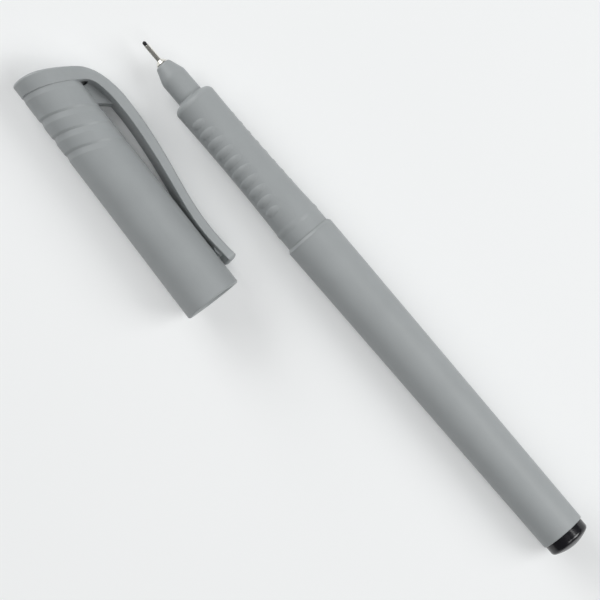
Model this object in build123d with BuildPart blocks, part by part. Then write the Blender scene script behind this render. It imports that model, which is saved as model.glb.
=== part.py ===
from build123d import *
import os
from math import asin, atan, atan2, cos, degrees, hypot, radians, sin, sqrt

os.makedirs("parts", exist_ok=True)

# Fineliner pen lying on a table, with its push-on cap taken off and lying beside it.
# Millimetres, table at Z = 0, pen along +X from nib to end plug.
# Pen sizes along the axis count from the nib tip; cap sizes count from the cap's mouth.

# Small gaps between seated pieces
seat_gap = 0.02
loose_gap = 0.15
cap_seat_gap = 0.05

# Nib, a plastic core that writes at its rounded tip
nib_radius = 0.38
nib_exposed = 1.0
nib_tail_radius = 0.8
nib_in_reservoir = 6.0

# Steel needle sleeve around the nib, and the steel collar that carries it
sleeve_wall = 0.07
sleeve_edge = 0.04
sleeve_exposed = 3.9
sleeve_in_collar = 4.2
collar_cone_length = 0.9
collar_radius = 1.2
collar_seat_length = 3.8
collar_edge = 0.2

# Grip section: bullet nose, rounded shoulder, waisted grip and a neck with the ring that the cap clicks on
nose_face_radius = 1.54
nose_face_round = 0.6
nose_radius = 2.71
nose_cone_length = 3.25
nose_cone_round = 3.0
nose_length = 8.45
nose_base_round = 0.35
shoulder_rise_length = 0.6
shoulder_round = 1.4
grip_length = 31.25
grip_waist_radius = 4.295
grip_waist_from_shoulder = 11.75
grip_flare_radius = 461.0
neck_radius = 4.72
neck_length = 4.1
click_ring_from_grip = 0.1
click_ring_flank = 0.5
click_ring_land = 0.4
click_ring_rise = 0.11
reservoir_chamber_wall = 0.75
spigot_length = 12.0
spigot_radius = 4.05
spigot_edge = 0.3

# Finger ribs: two patches of raised ribs, one for the thumb and one for a finger
rib_rows = 10
rib_pitch = 2.47
rib_first_from_shoulder = 5.3
rib_height = 0.24
rib_half_width = 0.85
rib_half_span = 38.0
rib_end_cut = 14.0
rib_patches = 2
rib_patch_turn = 35.0
rib_patch_apart = 206.0

# Barrel
barrel_length = 76.44
barrel_front_radius = 5.24
barrel_rear_radius = 4.65
barrel_chamfer_length = 0.6
barrel_chamfer_drop = 0.4
barrel_bore_radius = 3.72
barrel_rear_edge = 0.12

# End plug
plug_head_length = 3.3
plug_head_radius = 4.38
plug_head_round = 0.8
plug_dome_rise = 1.2
plug_spigot_length = 10.0
plug_spigot_wall = 0.8
plug_web_depth = 7.0
plug_web_thickness = 0.8
plug_webs = 4

# Ink reservoir: a fibre rod in a plastic film
reservoir_radius = 3.0
wrap_thickness = 0.12
reservoir_end_gap = 0.2

# Cap shell
cap_wall = 1.12
cap_body_taper = 0.28
cap_crown_thickness = 4.73
cap_bore_length = 3.6
cap_lead_in = 0.25
cap_mouth_edge = 0.25
cap_cavity_taper = 0.3

# Slanted bands of the cap, from the crown down: how far each line crosses the axis below the top
band_drops = (5.2, 11.35, 15.55, 19.65)
band_slopes = (0.385, 0.425, 0.425, 0.425)
band_insets = (0.12, 0.07, 0.03)
groove_depth = 0.16
groove_shift = 0.08
groove_upper_width = 0.5
groove_lower_width = 1.3

# Crown of the cap: a rounded back corner and a slope that runs out into the clip
crown_inset = 0.14
crown_overhang = 1.0
crown_back_rise = 0.1
crown_top_at = -2.4
crown_top_drop = 0.66
crown_slope_at = 2.1
crown_slope_drop = 2.6
crown_knee_drop = 4.9
crown_knee_rise = 1.3
crown_bend_drop = 11.1
crown_bend_rise = 4.45
crown_bend_thickness = 2.2
crown_flank_turn = 60.0
crown_tongue_rise = 2.4

# Pocket clip: drop below the cap's top, rise above the cap's body and thickness, from root to tip
clip_width = 5.2
clip_edge_round = 0.5
clip_inner_round = 0.15
clip_course = (
    (15.9, 4.93, 2.2),
    (20.5, 4.83, 2.1),
    (25.2, 4.48, 2.05),
    (29.8, 3.92, 1.95),
    (34.5, 3.23, 1.88),
    (39.1, 2.62, 1.88),
    (43.7, 2.32, 1.91),
    (48.4, 2.47, 1.85),
    (53.0, 3.05, 1.95),
)
clip_tip_round = 1.1
clip_tip_inner_round = 0.8
clip_tip_side_round = 1.2
clip_split_gap = 0.012

# Foot on the inside of the clip's tip, which all but touches the cap
foot_drop = 49.7
foot_length = 3.6
foot_width = 2.4
foot_gap = 0.12

# Gusset under the root of the clip, and the moulded recess above it
gusset_thickness = 2.2
gusset_sink = 0.3
gusset_top_drop = 8.1
gusset_foot_drop = 11.6
gusset_arch_drop = 13.7
gusset_arch_rise = 2.5
gusset_root_gap = 0.15
recess_width = 2.6
recess_height = 1.8
recess_depth = 1.4

# Inner cap, the liner that keeps the nib from drying
liner_wall = 0.85
liner_nose_gap = 0.05
liner_nib_gap = 1.5
liner_end_wall = 1.2
liner_rim_gap = 0.4

# Where the two halves lie
cap_mouth_from_nib = 47.39
cap_mouth_aside = 22.355
cap_turn = 2.82
lean_gap = 0.05

# Stations along the pen that follow from those sizes
sleeve_radius = nib_radius + seat_gap + sleeve_wall
nose_face_at = nib_exposed + sleeve_exposed + collar_cone_length
shoulder_at = nose_face_at + nose_length
grip_end_at = shoulder_at + grip_length
ring_at = grip_end_at + click_ring_from_grip
ring_land_at = ring_at + click_ring_flank
ring_back_at = ring_land_at + click_ring_land
ring_radius = neck_radius + click_ring_rise
barrel_at = grip_end_at + neck_length
barrel_end_at = barrel_at + barrel_length
pen_length = barrel_end_at + plug_head_length
sleeve_end_at = nib_exposed + sleeve_exposed + sleeve_in_collar
collar_end_at = nose_face_at + collar_seat_length
wrap_radius = reservoir_radius + wrap_thickness
chamber_radius = wrap_radius + loose_gap
chamber_at = shoulder_at + shoulder_round + reservoir_chamber_wall
reservoir_at = chamber_at + reservoir_end_gap
nib_end_at = reservoir_at + nib_in_reservoir
spigot_end_at = barrel_at + spigot_length
plug_spigot_at = barrel_end_at - plug_spigot_length
reservoir_end_at = plug_spigot_at - reservoir_end_gap
plug_spigot_radius = barrel_bore_radius - seat_gap

# Stations and radii of the cap that follow from those of the pen
cap_bore_radius = ring_radius + cap_seat_gap
cap_mouth_radius = cap_bore_radius + cap_wall
cap_body_radius = cap_mouth_radius - cap_body_taper
crown_radius = cap_body_radius - crown_inset
liner_bore_radius = nose_radius + liner_nose_gap
liner_radius = liner_bore_radius + liner_wall
liner_mouth_at = barrel_at - shoulder_at + liner_rim_gap
liner_top_at = barrel_at + liner_nib_gap + liner_end_wall
cap_length = liner_top_at + cap_crown_thickness
line_heights = [cap_length - drop for drop in band_drops]
cap_taper_length = line_heights[-1] - cap_mouth_edge
clip_side = clip_width / 2
root_drop, root_rise, root_thickness = clip_course[0]
clip_root_at = cap_length - root_drop
clip_root_reach = cap_body_radius + root_rise

# The tapered barrel lies along its side, so the axis drops a little towards the rear
pen_drop = degrees(atan((barrel_front_radius - barrel_rear_radius) / (barrel_length - barrel_chamfer_length)))
pen_height = (
    barrel_front_radius / cos(radians(pen_drop))
    + (barrel_at + barrel_chamfer_length) * sin(radians(pen_drop))
)
cap_drop = degrees(atan(cap_body_taper / cap_taper_length))
# The nib and the cap's mouth are set so that the whole layout is centred on the origin
cap_run = cap_length * cos(radians(cap_turn)) * cos(radians(cap_drop)) + crown_radius * sin(radians(cap_turn))
nib_x = (cap_run - cap_mouth_from_nib - pen_length * cos(radians(pen_drop))) / 2
pen_y = (cap_mouth_aside + cap_mouth_radius * cos(radians(cap_turn)) - barrel_front_radius) / 2
pen_plane = Plane(
    origin=(nib_x, pen_y, pen_height),
    x_dir=(cos(radians(pen_drop)), 0, -sin(radians(pen_drop))),
    z_dir=(sin(radians(pen_drop)), 0, cos(radians(pen_drop))),
)
pen_axis = Axis(pen_plane.origin, pen_plane.x_dir)


def grip_radius(station):
    """Outer radius of the waisted grip at a station along the pen."""
    away = station - (shoulder_at + grip_waist_from_shoulder)
    return grip_waist_radius + grip_flare_radius - sqrt(grip_flare_radius**2 - away**2)


# Nib: rounded tip, thin core through the sleeve and a thicker tail into the reservoir
with BuildPart() as nib:
    with BuildSketch(pen_plane) as nib_profile:
        with BuildLine():
            nib_dome = ThreePointArc(
                (0, 0),
                (nib_radius * (1 - sin(radians(45))), nib_radius * cos(radians(45))),
                (nib_radius, nib_radius),
            )
            Polyline(
                nib_dome @ 1,
                (sleeve_end_at, nib_radius),
                (sleeve_end_at, nib_tail_radius),
                (nib_end_at, nib_tail_radius),
                (nib_end_at, 0),
                nib_dome @ 0,
            )
        make_face()
    revolve(axis=pen_axis)

# Needle sleeve: a thin steel tube with a slightly rounded mouth
with BuildPart() as needle_sleeve:
    with BuildSketch(pen_plane):
        with Locations((nib_exposed, nib_radius + seat_gap)):
            sleeve_section = Rectangle(
                sleeve_end_at - seat_gap - nib_exposed, sleeve_wall, align=(Align.MIN, Align.MIN)
            )
        fillet(sleeve_section.vertices().group_by(Axis.X)[0].sort_by(Axis.Y)[-1], sleeve_edge)
    revolve(axis=pen_axis)

# Tip collar: a steel cone on a seat pressed into the nose
with BuildPart() as tip_collar:
    with BuildSketch(pen_plane):
        with BuildLine():
            Polyline(
                (nib_exposed + sleeve_exposed, sleeve_radius + seat_gap),
                (nib_exposed + sleeve_exposed, sleeve_radius + collar_edge),
                (nose_face_at - collar_edge, collar_radius),
                (collar_end_at, collar_radius),
                (collar_end_at, nib_tail_radius + seat_gap),
                (sleeve_end_at, nib_tail_radius + seat_gap),
                (sleeve_end_at, sleeve_radius + seat_gap),
                close=True,
            )
        make_face()
    revolve(axis=pen_axis)

# Grip section: one moulding with the nose, the grip, the click ring and the spigot for the barrel
with BuildPart() as grip_section:
    with BuildSketch(pen_plane) as grip_profile:
        with BuildLine():
            shoulder_top = shoulder_at + shoulder_rise_length
            nose_cone_end = (nose_face_at + nose_cone_length, nose_radius)
            Polyline(
                (nose_face_at, 0),
                (nose_face_at, nose_face_radius),
                nose_cone_end,
                (shoulder_at, nose_radius),
                (shoulder_top, grip_radius(shoulder_top)),
            )
            ThreePointArc(
                (shoulder_top, grip_radius(shoulder_top)),
                (
                    shoulder_at + grip_waist_from_shoulder,
                    grip_radius(shoulder_at + grip_waist_from_shoulder),
                ),
                (grip_end_at, grip_radius(grip_end_at)),
            )
            Polyline(
                (grip_end_at, grip_radius(grip_end_at)),
                (ring_at, neck_radius),
                (ring_land_at, ring_radius),
                (ring_back_at, ring_radius),
                (ring_back_at + click_ring_flank, neck_radius),
                (barrel_at, neck_radius),
                (barrel_at, spigot_radius),
                (spigot_end_at - spigot_edge, spigot_radius),
                (spigot_end_at, spigot_radius - spigot_edge),
                (spigot_end_at, 0),
                (nose_face_at, 0),
            )
        make_face()
        shoulder_corner = grip_profile.vertices().sort_by_distance(
            (shoulder_top, grip_radius(shoulder_top))
        )[0]
        fillet(shoulder_corner, shoulder_round)
        nose_corner = grip_profile.vertices().sort_by_distance((shoulder_at, nose_radius))[0]
        fillet(nose_corner, nose_base_round)
        cone_corner = grip_profile.vertices().sort_by_distance(nose_cone_end)[0]
        fillet(cone_corner, nose_cone_round)
        face_corner = grip_profile.vertices().sort_by_distance((nose_face_at, nose_face_radius))[0]
        fillet(face_corner, nose_face_round)
    revolve(axis=pen_axis)
    # Each rib is the crest of a ring that is narrower than the grip and set off to one side
    rib_tube = (rib_half_width**2 + rib_height**2) / (2 * rib_height)
    for patch in range(rib_patches):
        patch_turn = radians(rib_patch_turn + rib_patch_apart * patch)
        for row in range(rib_rows):
            station = shoulder_at + rib_first_from_shoulder + row * rib_pitch
            outer = grip_radius(station)
            crest = outer + rib_height
            from_middle = abs(2 * row / (rib_rows - 1) - 1)
            span = radians(rib_half_span - rib_end_cut * from_middle**3)
            setoff = (crest**2 - outer**2) / (2 * (crest - outer * cos(span)))
            centre = pen_plane.from_local_coords(
                (station, -setoff * sin(patch_turn), setoff * cos(patch_turn))
            )
            with Locations(Plane(origin=centre, z_dir=pen_plane.x_dir)):
                Torus(crest - setoff - rib_tube, rib_tube)
    # Inside: seat for the collar, passage for the nib's tail and chamber for the reservoir
    with BuildSketch(pen_plane):
        with BuildLine():
            Polyline(
                (nose_face_at, 0),
                (nose_face_at, collar_radius + seat_gap),
                (collar_end_at, collar_radius + seat_gap),
                (collar_end_at, nib_tail_radius + seat_gap),
                (chamber_at, nib_tail_radius + seat_gap),
                (chamber_at, chamber_radius),
                (spigot_end_at, chamber_radius),
                (spigot_end_at, 0),
                close=True,
            )
        make_face()
    revolve(axis=pen_axis, mode=Mode.SUBTRACT)

# Barrel: a long tapered tube, open at both ends
with BuildPart() as barrel:
    with BuildSketch(pen_plane):
        with BuildLine():
            Polyline(
                (barrel_at, spigot_radius + seat_gap),
                (barrel_at, barrel_front_radius - barrel_chamfer_drop),
                (barrel_at + barrel_chamfer_length, barrel_front_radius),
                (barrel_end_at - barrel_rear_edge, barrel_rear_radius),
                (barrel_end_at, barrel_rear_radius - barrel_rear_edge),
                (barrel_end_at, barrel_bore_radius),
                (spigot_end_at + seat_gap, barrel_bore_radius),
                (spigot_end_at + seat_gap, spigot_radius + seat_gap),
                close=True,
            )
        make_face()
    revolve(axis=pen_axis)

# End plug: a domed black head on a hollow spigot, with crossed webs that stop the reservoir
with BuildPart() as end_plug:
    with BuildSketch(pen_plane) as plug_profile:
        with BuildLine():
            dome = ThreePointArc(
                (pen_length, 0),
                (pen_length - plug_dome_rise / 4, plug_head_radius / 2),
                (pen_length - plug_dome_rise, plug_head_radius),
            )
            Polyline(
                dome @ 1,
                (barrel_end_at, plug_head_radius),
                (barrel_end_at, plug_spigot_radius),
                (plug_spigot_at, plug_spigot_radius),
                (plug_spigot_at, plug_spigot_radius - plug_spigot_wall),
                (barrel_end_at, plug_spigot_radius - plug_spigot_wall),
                (barrel_end_at, 0),
                dome @ 0,
            )
        make_face()
        plug_corner = plug_profile.vertices().sort_by_distance(
            (pen_length - plug_dome_rise, plug_head_radius)
        )[0]
        fillet(plug_corner, plug_head_round)
    revolve(axis=pen_axis)
    web_plane = Plane(
        origin=pen_plane.from_local_coords((barrel_end_at - plug_web_depth, 0, 0)), z_dir=pen_plane.x_dir
    )
    with BuildSketch(web_plane):
        with PolarLocations(0, plug_webs):
            Rectangle(
                plug_spigot_radius - plug_spigot_wall / 2,
                plug_web_thickness,
                align=(Align.MIN, Align.CENTER),
            )
    extrude(amount=plug_web_depth + plug_head_length / 2)

# Ink reservoir: a fibre rod with a pocket for the nib's tail
with BuildPart() as ink_reservoir:
    with BuildSketch(pen_plane):
        with BuildLine():
            Polyline(
                (reservoir_at, nib_tail_radius + seat_gap),
                (reservoir_at, reservoir_radius),
                (reservoir_end_at, reservoir_radius),
                (reservoir_end_at, 0),
                (nib_end_at + seat_gap, 0),
                (nib_end_at + seat_gap, nib_tail_radius + seat_gap),
                close=True,
            )
        make_face()
    revolve(axis=pen_axis)

# Reservoir wrap: the film around the fibre
with BuildPart() as reservoir_wrap:
    with BuildSketch(pen_plane):
        with Locations((reservoir_at, reservoir_radius + seat_gap)):
            Rectangle(
                reservoir_end_at - reservoir_at,
                wrap_thickness - seat_gap,
                align=(Align.MIN, Align.MIN),
            )
    revolve(axis=pen_axis)

# The cap lies on its side and leans on the widest part of its clip, which sets its drop and its roll
lean_drop, lean_rise, _ = max(clip_course, key=lambda point: point[1])
cap_height = cap_mouth_radius / cos(radians(cap_drop)) + cap_mouth_edge * sin(radians(cap_drop))
lean_height = cap_height - (cap_length - lean_drop) * sin(radians(cap_drop)) - clip_edge_round - lean_gap
lean_reach = cap_body_radius + lean_rise - clip_edge_round
lean_side = clip_side - clip_edge_round
cap_roll = asin(lean_height / hypot(lean_reach, lean_side)) - atan2(lean_side, lean_reach)
cap_axis_dir = Vector(
    -cos(radians(cap_turn)) * cos(radians(cap_drop)),
    sin(radians(cap_turn)) * cos(radians(cap_drop)),
    -sin(radians(cap_drop)),
)
across_dir = Vector(sin(radians(cap_turn)), cos(radians(cap_turn)), 0)
upward_dir = across_dir.cross(cap_axis_dir)
clip_dir = across_dir * cos(cap_roll) - upward_dir * sin(cap_roll)
# In the cap's side plane X runs from the mouth to the crown and Y from the axis to the clip
cap_side = Plane(
    origin=(nib_x + cap_mouth_from_nib, pen_y - cap_mouth_aside, cap_height),
    x_dir=cap_axis_dir,
    z_dir=cap_axis_dir.cross(clip_dir),
)
cap_axis = Axis(cap_side.origin, cap_side.x_dir)


def across_plane(height):
    """Plane square to the cap's axis, with X towards the clip."""
    return Plane(
        origin=cap_side.from_local_coords((height, 0, 0)), x_dir=cap_side.y_dir, z_dir=cap_side.x_dir
    )


def slanted_plane(height, slope):
    """Plane across the cap that drops towards the clip by the slope."""
    return Plane(
        origin=cap_side.from_local_coords((height, 0, 0)),
        x_dir=cap_side.y_dir - cap_side.x_dir * slope,
        z_dir=cap_side.x_dir + cap_side.y_dir * slope,
    )


# Crown with the root of the clip: its side view, cut to the outline seen along the cap's axis
with BuildPart() as crown:
    with BuildSketch(cap_side.offset(-2 * crown_radius)):
        with BuildLine():
            back_reach = crown_radius + crown_overhang
            back_foot = (line_heights[0] + band_slopes[0] * back_reach, -back_reach)
            back_corner = (cap_length + crown_back_rise, -back_reach)
            bend_reach = cap_body_radius + crown_bend_rise
            root_foot = (line_heights[0] - band_slopes[0] * crown_radius, crown_radius)
            Line(back_foot, back_corner)
            Spline(
                back_corner,
                (cap_length - crown_top_drop, crown_top_at),
                (cap_length - crown_slope_drop, crown_slope_at),
                (cap_length - crown_knee_drop, cap_body_radius + crown_knee_rise),
                (cap_length - crown_bend_drop, bend_reach),
                (clip_root_at, clip_root_reach),
            )
            Line((clip_root_at, clip_root_reach), (clip_root_at, clip_root_reach - root_thickness))
            Spline(
                (clip_root_at, clip_root_reach - root_thickness),
                (cap_length - crown_bend_drop, bend_reach - crown_bend_thickness),
                root_foot,
                tangents=((1, 0), (band_slopes[0], -1)),
            )
            Line(root_foot, back_foot)
        make_face()
    extrude(amount=4 * crown_radius)
    with BuildSketch(across_plane(clip_root_at)):
        with BuildLine():
            flank_turn = radians(crown_flank_turn)
            flank_start = (crown_radius * cos(flank_turn), crown_radius * sin(flank_turn))
            tongue_end = (cap_body_radius + crown_tongue_rise, clip_side)
            flank = Spline(
                flank_start,
                tongue_end,
                tangents=((sin(flank_turn), -cos(flank_turn)), (1, 0)),
            )
            mirror(flank, about=Plane.XZ)
            ThreePointArc(flank_start, (-crown_radius, 0), (flank_start[0], -flank_start[1]))
            Polyline(
                tongue_end,
                (2 * clip_root_reach, clip_side),
                (2 * clip_root_reach, -clip_side),
                (tongue_end[0], -tongue_end[1]),
            )
        make_face()
    extrude(amount=cap_length, mode=Mode.INTERSECT)
    # Curved edges: little rounded inside the clip's root, more around the top, and sharp at the foot
    foot_plane = slanted_plane(line_heights[0], band_slopes[0])
    knee_at = cap_length - crown_knee_drop
    for inside, edge_round in ((True, clip_inner_round), (False, clip_edge_round)):
        crown_edges = crown.edges().filter_by(GeomType.BSPLINE).filter_by(
            lambda edge: abs(foot_plane.to_local_coords(edge @ 0.5).Z) > seat_gap
        )
        middles = [(edge, cap_side.to_local_coords(edge @ 0.5)) for edge in crown_edges]
        inner_reach = bend_reach - crown_bend_thickness / 2
        fillet(
            [edge for edge, at in middles if (at.X < knee_at and at.Y < inner_reach) == inside],
            edge_round,
        )

# Cap shell: body, slanted bands, crown and gusset in one moulding
with BuildPart() as cap_shell:
    with BuildSketch(cap_side):
        with BuildLine():
            Polyline(
                (0, 0),
                (0, cap_mouth_radius - cap_mouth_edge),
                (cap_mouth_edge, cap_mouth_radius),
                (line_heights[-1], cap_body_radius),
                (cap_length, cap_body_radius),
                (cap_length, 0),
                close=True,
            )
        make_face()
    revolve(axis=cap_axis)
    body_top = line_heights[-1] - groove_lower_width
    split(bisect_by=slanted_plane(body_top, band_slopes[-1]), keep=Keep.BOTTOM)
    # Bands: straight between the grooves along their lines, which are steeper on the crown's side
    # Each groove is set off towards the clip, so that it is deepest at the cap's back
    top_ring_radius = cap_body_radius - band_insets[0] - groove_depth
    rings = [(line_heights[0], band_slopes[0], top_ring_radius, groove_shift)]
    for upper, band_inset in enumerate(band_insets):
        band_radius = cap_body_radius - band_inset
        band_height = line_heights[upper] - line_heights[upper + 1]
        slope_change = band_slopes[upper + 1] - band_slopes[upper]
        for drop, radius, shift in (
            (groove_lower_width, band_radius, 0),
            (band_height - groove_upper_width, band_radius, 0),
            (band_height, band_radius - groove_depth, groove_shift),
        ):
            slope = band_slopes[upper] + slope_change * drop / band_height
            rings.append((line_heights[upper] - drop, slope, radius, shift))
    rings.append((body_top, band_slopes[-1], cap_body_radius, 0))
    for height, slope, radius, shift in rings:
        with BuildSketch(slanted_plane(height, slope)):
            with Locations((shift, 0)):
                Ellipse(radius * sqrt(1 + slope**2), radius)
    loft(ruled=True)
    add(crown.part)
    # Gusset plate between the second band and the root of the clip, with an arched lower edge
    with BuildSketch(cap_side.offset(gusset_sink)):
        with BuildLine():
            gusset_top = cap_length - gusset_top_drop
            gusset_inside = cap_body_radius - cap_wall
            arch = Bezier(
                (cap_length - gusset_foot_drop, gusset_inside),
                (cap_length - gusset_arch_drop, cap_body_radius + gusset_arch_rise),
                (clip_root_at + gusset_root_gap, clip_root_reach - root_thickness / 2),
            )
            Polyline(
                arch @ 1,
                (gusset_top, bend_reach - crown_bend_thickness / 2),
                (gusset_top, gusset_inside),
                arch @ 0,
            )
        make_face()
    extrude(amount=gusset_thickness)
    # Inside: bore for the click ring, tapered cavity for the grip and socket for the inner cap
    with BuildSketch(cap_side):
        with BuildLine():
            Polyline(
                (0, 0),
                (0, cap_bore_radius + cap_lead_in),
                (cap_lead_in, cap_bore_radius),
                (cap_lead_in + cap_bore_length, cap_bore_radius),
                (liner_mouth_at, cap_bore_radius - cap_cavity_taper),
                (liner_mouth_at, liner_radius + seat_gap),
                (liner_top_at + seat_gap, liner_radius + seat_gap),
                (liner_top_at + seat_gap, 0),
                close=True,
            )
        make_face()
    revolve(axis=cap_axis, mode=Mode.SUBTRACT)
    # Recess under the crown, above the gusset
    with BuildSketch(across_plane(gusset_top)):
        with Locations((crown_radius, 0)):
            Rectangle(2 * recess_depth, recess_width)
    extrude(amount=recess_height, mode=Mode.SUBTRACT)

# Pocket clip: a springy arm of rounded section, with a rounded tip and a foot towards the cap
with BuildPart() as pocket_clip:
    for drop, rise, thickness in clip_course:
        height = min(cap_length - drop, clip_root_at - clip_split_gap)
        with BuildSketch(across_plane(height)) as section:
            with Locations((cap_body_radius + rise - thickness / 2, 0)):
                Rectangle(thickness, clip_width)
            fillet(section.vertices().group_by(Axis.X)[0], clip_inner_round)
            fillet(section.vertices().group_by(Axis.X)[-1], clip_edge_round)
    loft()
    # The tip's corners are rounded off, as seen from the side and from outside
    tip_drop, tip_rise, tip_thickness = clip_course[-1]
    tip_at = cap_length - tip_drop
    tip_reach = cap_body_radius + tip_rise
    clip_front = Plane(origin=cap_side.origin, x_dir=cap_side.x_dir, z_dir=cap_side.y_dir)
    for view, reach, outward, tip_round in (
        (cap_side, tip_reach, 1, clip_tip_round),
        (cap_side, tip_reach - tip_thickness, -1, clip_tip_inner_round),
        (clip_front, clip_side, 1, clip_tip_side_round),
        (clip_front, -clip_side, -1, clip_tip_side_round),
    ):
        with BuildSketch(view):
            with BuildLine():
                tip_bow = JernArc(
                    (tip_at, reach - outward * tip_round), (0, outward), tip_round, -90 * outward
                )
                Polyline(
                    tip_bow @ 1,
                    (tip_at + tip_round, reach + outward * tip_round),
                    (tip_at - tip_round, reach + outward * tip_round),
                    (tip_at - tip_round, reach - outward * tip_round),
                    tip_bow @ 0,
                )
            make_face()
        extrude(amount=clip_root_reach, both=True, mode=Mode.SUBTRACT)
    with BuildSketch(cap_side.offset(-foot_width / 2)):
        with BuildLine():
            foot_at = cap_length - foot_drop
            foot_root = tip_reach - tip_thickness / 2
            foot_share = (foot_at - cap_mouth_edge) / cap_taper_length
            foot_reach = cap_mouth_radius - cap_body_taper * foot_share + foot_gap
            foot_bow = ThreePointArc(
                (foot_at - foot_length / 2, foot_root),
                (foot_at, foot_reach),
                (foot_at + foot_length / 2, foot_root),
            )
            Line(foot_bow @ 1, foot_bow @ 0)
        make_face()
    extrude(amount=foot_width)

# Inner cap: a cup that seals over the nose
with BuildPart() as inner_cap:
    with BuildSketch(cap_side):
        with BuildLine():
            Polyline(
                (liner_mouth_at, liner_bore_radius),
                (liner_mouth_at, liner_radius),
                (liner_top_at, liner_radius),
                (liner_top_at, 0),
                (liner_top_at - liner_end_wall, 0),
                (liner_top_at - liner_end_wall, liner_bore_radius),
                close=True,
            )
        make_face()
    revolve(axis=cap_axis)

pieces = {
    "nib": nib,
    "needle_sleeve": needle_sleeve,
    "tip_collar": tip_collar,
    "grip_section": grip_section,
    "barrel": barrel,
    "end_plug": end_plug,
    "ink_reservoir": ink_reservoir,
    "reservoir_wrap": reservoir_wrap,
    "cap_shell": cap_shell,
    "inner_cap": inner_cap,
    "pocket_clip": pocket_clip,
}
for label, piece in pieces.items():
    piece.part.label = label
    export_step(piece.part, f"parts/{label}.step")

everything = Compound(children=[piece.part for piece in pieces.values()])
print("overall box", everything.bounding_box())
print("cap roll", round(degrees(cap_roll), 2), "cap length", round(cap_length, 2))
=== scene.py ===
"""Looks for a fineliner pen that lies on a table beside its cap."""

import bpy
from mathutils import Matrix, Vector

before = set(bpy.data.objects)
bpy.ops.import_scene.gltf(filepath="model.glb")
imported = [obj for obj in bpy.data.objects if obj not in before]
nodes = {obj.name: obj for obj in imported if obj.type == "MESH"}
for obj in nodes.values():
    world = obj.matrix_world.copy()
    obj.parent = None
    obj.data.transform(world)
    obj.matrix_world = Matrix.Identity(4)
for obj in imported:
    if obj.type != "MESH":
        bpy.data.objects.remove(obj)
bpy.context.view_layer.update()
scene = bpy.context.scene


# Materials: lengths are in metres, noise scales in cycles per metre

# Most noise values lie between these two, which are spread over a texture's whole range
NOISE_LOW, NOISE_HIGH = 0.3, 0.7
NOISE_ROUGHNESS = 0.55

# Moulded plastic: cloudiness of its colour and grain of its surface
CLOUD_SCALE = 140.0
CLOUD_CHANGE = 0.03
ROUGHNESS_CHANGE = 0.04
GRAIN_STRENGTH = 0.35


def new_material(name):
    """A material with its node tree, its shader and an object-space coordinate."""
    material = bpy.data.materials.new(name)
    material.use_nodes = True
    tree = material.node_tree
    shader = tree.nodes["Principled BSDF"]
    coords = tree.nodes.new("ShaderNodeTexCoord").outputs["Object"]
    return material, tree, shader, coords


def stretched(tree, coords, scale):
    """Coordinates scaled by a vector, for noise that runs in streaks."""
    mapping = tree.nodes.new("ShaderNodeMapping")
    mapping.inputs["Scale"].default_value = scale
    tree.links.new(coords, mapping.inputs["Vector"])
    return mapping.outputs["Vector"]


def noise(tree, coords, scale, detail):
    """Noise value of that scale."""
    node = tree.nodes.new("ShaderNodeTexNoise")
    node.inputs["Scale"].default_value = scale
    node.inputs["Detail"].default_value = detail
    node.inputs["Roughness"].default_value = NOISE_ROUGHNESS
    tree.links.new(coords, node.inputs["Vector"])
    return node.outputs["Fac"]


def colour_by(tree, shader, value, low, high):
    """Colours the shader between two colours by noise."""
    node = tree.nodes.new("ShaderNodeValToRGB")
    first, last = node.color_ramp.elements
    first.position, last.position = NOISE_LOW, NOISE_HIGH
    first.color, last.color = (*low, 1), (*high, 1)
    tree.links.new(value, node.inputs["Fac"])
    tree.links.new(node.outputs["Color"], shader.inputs["Base Color"])


def map_range(tree, value, start, end, low, high):
    """Maps values from start to end onto low to high."""
    node = tree.nodes.new("ShaderNodeMapRange")
    node.inputs["From Min"].default_value = start
    node.inputs["From Max"].default_value = end
    node.inputs["To Min"].default_value = low
    node.inputs["To Max"].default_value = high
    tree.links.new(value, node.inputs["Value"])
    return node.outputs["Result"]


def roughen_by(tree, shader, value, low, high):
    """Varies the shader's roughness between two numbers by noise."""
    result = map_range(tree, value, NOISE_LOW, NOISE_HIGH, low, high)
    tree.links.new(result, shader.inputs["Roughness"])


def bump(tree, shader, value, strength, distance):
    """Bump from a value, with its depth."""
    node = tree.nodes.new("ShaderNodeBump")
    node.inputs["Strength"].default_value = strength
    node.inputs["Distance"].default_value = distance
    tree.links.new(value, node.inputs["Height"])
    tree.links.new(node.outputs["Normal"], shader.inputs["Normal"])


def moulded_plastic(name, colour, roughness, grain, depth):
    """Moulded plastic: faint cloudiness in its colour, fine grain in its surface."""
    material, tree, shader, coords = new_material(name)
    cloud = noise(tree, coords, CLOUD_SCALE, detail=3.0)
    darker = [c * (1 - CLOUD_CHANGE) for c in colour]
    lighter = [c * (1 + CLOUD_CHANGE) for c in colour]
    colour_by(tree, shader, cloud, darker, lighter)
    fine = noise(tree, coords, grain, detail=2.0)
    roughen_by(tree, shader, fine, roughness - ROUGHNESS_CHANGE, roughness + ROUGHNESS_CHANGE)
    bump(tree, shader, fine, GRAIN_STRENGTH, depth)
    return material


def turned_steel():
    """Steel turned on a lathe: faint rings around its axis."""
    material, tree, shader, coords = new_material("steel")
    along_rings = stretched(tree, coords, (2400.0, 900.0, 900.0))
    rings = noise(tree, along_rings, scale=1.0, detail=2.0)
    colour_by(tree, shader, rings, (0.82, 0.8, 0.74), (0.86, 0.84, 0.78))
    roughen_by(tree, shader, rings, 0.26, 0.3)
    shader.inputs["Metallic"].default_value = 1.0
    bump(tree, shader, rings, strength=0.03, distance=0.000004)
    return material


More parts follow.
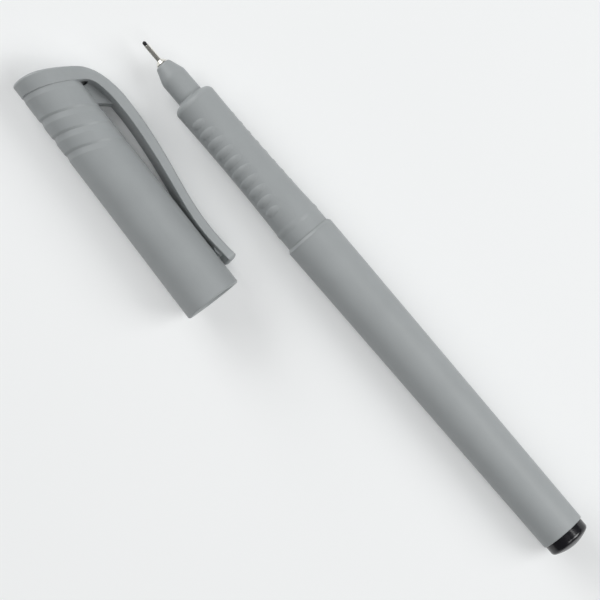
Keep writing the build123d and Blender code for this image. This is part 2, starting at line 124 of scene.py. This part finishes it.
def inked_fibre():
    """Bundle of ink-soaked fibres along the pen."""
    material, tree, shader, coords = new_material("fibre")
    along_strands = stretched(tree, coords, (400.0, 9000.0, 9000.0))
    strands = noise(tree, along_strands, scale=1.0, detail=3.0)
    colour_by(tree, shader, strands, (0.01, 0.01, 0.014), (0.03, 0.03, 0.036))
    shader.inputs["Roughness"].default_value = 0.85
    bump(tree, shader, strands, strength=0.6, distance=0.00005)
    return material


# Plastics: colour, roughness, scale of the grain and its depth
grey = moulded_plastic("grey_plastic", (0.328, 0.347, 0.352), 0.48, 5200.0, 0.000012)
liner = moulded_plastic("liner_plastic", (0.285, 0.302, 0.306), 0.5, 4200.0, 0.00001)
black = moulded_plastic("black_plastic", (0.006, 0.006, 0.008), 0.2, 2600.0, 0.000002)
nib_plastic = moulded_plastic("nib_plastic", (0.008, 0.008, 0.009), 0.55, 9000.0, 0.000006)
film = moulded_plastic("film", (0.68, 0.71, 0.72), 0.25, 1500.0, 0.000003)
steel = turned_steel()
fibre = inked_fibre()

finishes = {
    "barrel": grey,
    "grip_section": grey,
    "cap_shell": grey,
    "pocket_clip": grey,
    "inner_cap": liner,
    "end_plug": black,
    "needle_sleeve": steel,
    "tip_collar": steel,
    "nib": nib_plastic,
    "ink_reservoir": fibre,
    "reservoir_wrap": film,
}
for name, material in finishes.items():
    slots = nodes[name].data.materials
    if not slots:
        slots.append(material)
    for i in range(len(slots)):
        slots[i] = material


# Floor: seen directly it glows a little where it lies open, so that its shadows stay pale;
# the glow's fading in narrow gaps is painted shade

FLOOR_HALF = 3.0
GLOW_COLOUR = (0.93, 0.936, 0.936, 1)
GLOW_SHARE = 0.3
# The glow fades out where the pen covers more of the floor's sky within this reach: painted
# shade in the gaps beside pen and cap
OPEN_REACH = 0.02
OPEN_NONE, OPEN_FULL = 0.28, 0.6


def math_node(tree, operation, first, second):
    """Result of an operation on two values."""
    node = tree.nodes.new("ShaderNodeMath")
    node.operation = operation
    tree.links.new(first, node.inputs[0])
    tree.links.new(second, node.inputs[1])
    return node.outputs["Value"]


def floor_glow_share(tree):
    """Share of the glow: none for rays that light the pen, less of it in narrow gaps, which
    paints shade there.
    """
    path = tree.nodes.new("ShaderNodeLightPath")
    seen = path.outputs["Is Camera Ray"]
    for ray in ("Is Glossy Ray", "Is Transmission Ray"):
        seen = math_node(tree, "MAXIMUM", seen, path.outputs[ray])
    # Ambient occlusion mask: it dims the glow where the floor is hemmed in, painting shade
    # into gaps and crevices
    nook = tree.nodes.new("ShaderNodeAmbientOcclusion")
    nook.inputs["Distance"].default_value = OPEN_REACH
    glow_with_painted_shade = map_range(tree, nook.outputs["AO"], OPEN_NONE, OPEN_FULL, 0.0, GLOW_SHARE)
    return math_node(tree, "MULTIPLY", seen, glow_with_painted_shade)


def pale_floor():
    """Wide pale floor under the pen."""
    signs = ((-1, -1), (1, -1), (1, 1), (-1, 1))
    corners = [(x * FLOOR_HALF, y * FLOOR_HALF, 0) for x, y in signs]
    mesh = bpy.data.meshes.new("floor")
    mesh.from_pydata(corners, [], [(0, 1, 2, 3)])
    floor = bpy.data.objects.new("floor", mesh)
    scene.collection.objects.link(floor)
    material, tree, shader, coords = new_material("pale_card")
    cloud = noise(tree, coords, scale=6.0, detail=2.0)
    colour_by(tree, shader, cloud, (0.865, 0.882, 0.886), (0.885, 0.9, 0.902))
    shader.inputs["Roughness"].default_value = 0.7
    shader.inputs["Specular IOR Level"].default_value = 0.2
    glow = tree.nodes.new("ShaderNodeEmission")
    glow.inputs["Color"].default_value = GLOW_COLOUR
    mix = tree.nodes.new("ShaderNodeMixShader")
    tree.links.new(floor_glow_share(tree), mix.inputs["Fac"])
    tree.links.new(shader.outputs["BSDF"], mix.inputs[1])
    tree.links.new(glow.outputs["Emission"], mix.inputs[2])
    tree.links.new(mix.outputs["Shader"], tree.nodes["Material Output"].inputs["Surface"])
    mesh.materials.append(material)


pale_floor()


# Light: a soft lamp beside the pen, a low one before its nib, two weak ones and a dim sky


def soft_lamp(name, place, size, power):
    """Square area lamp at a place, turned to the middle of the table."""
    data = bpy.data.lights.new(name, "AREA")
    data.shape = "SQUARE"
    data.size = size
    data.energy = power
    lamp = bpy.data.objects.new(name, data)
    scene.collection.objects.link(lamp)
    lamp.location = place
    lamp.rotation_euler = (-Vector(place)).to_track_quat("-Z", "Y").to_euler()


soft_lamp("side", (0.448, 0.524, 0.5785), size=0.5, power=5.17)
soft_lamp("front", (-0.816, 0.008, 0.38), size=0.5, power=4.29)
soft_lamp("far_side", (-0.642, -0.363, 0.516), size=0.4, power=1.3)
soft_lamp("rear", (0.45, -0.004, 0.78), size=0.4, power=1.4)

world = bpy.data.worlds.new("sky")
scene.world = world
world.use_nodes = True
sky = world.node_tree.nodes["Background"].inputs
sky["Color"].default_value = (0.98, 0.99, 1.0, 1)
sky["Strength"].default_value = 0.14


# Camera: above the table, turned so that the pen runs from the upper left to the lower right


def overhead_camera():
    """Camera that looks down on the table."""
    target = Vector((-0.00148, 0.00205, 0.0055))
    place = Vector((0.00635, -0.00078, 0.6055))
    up = Vector((-0.76, 0.65, 0.0))
    back = (place - target).normalized()
    right = up.cross(back).normalized()
    up = back.cross(right)
    data = bpy.data.cameras.new("camera")
    data.sensor_width = 36.0
    data.lens = 184.6
    data.clip_start = 0.05
    data.clip_end = 20.0
    camera = bpy.data.objects.new("camera", data)
    scene.collection.objects.link(camera)
    turn = Matrix((right, up, back)).transposed()
    camera.matrix_world = Matrix.Translation(place) @ turn.to_4x4()
    scene.camera = camera


overhead_camera()

scene.view_settings.view_transform = "Standard"
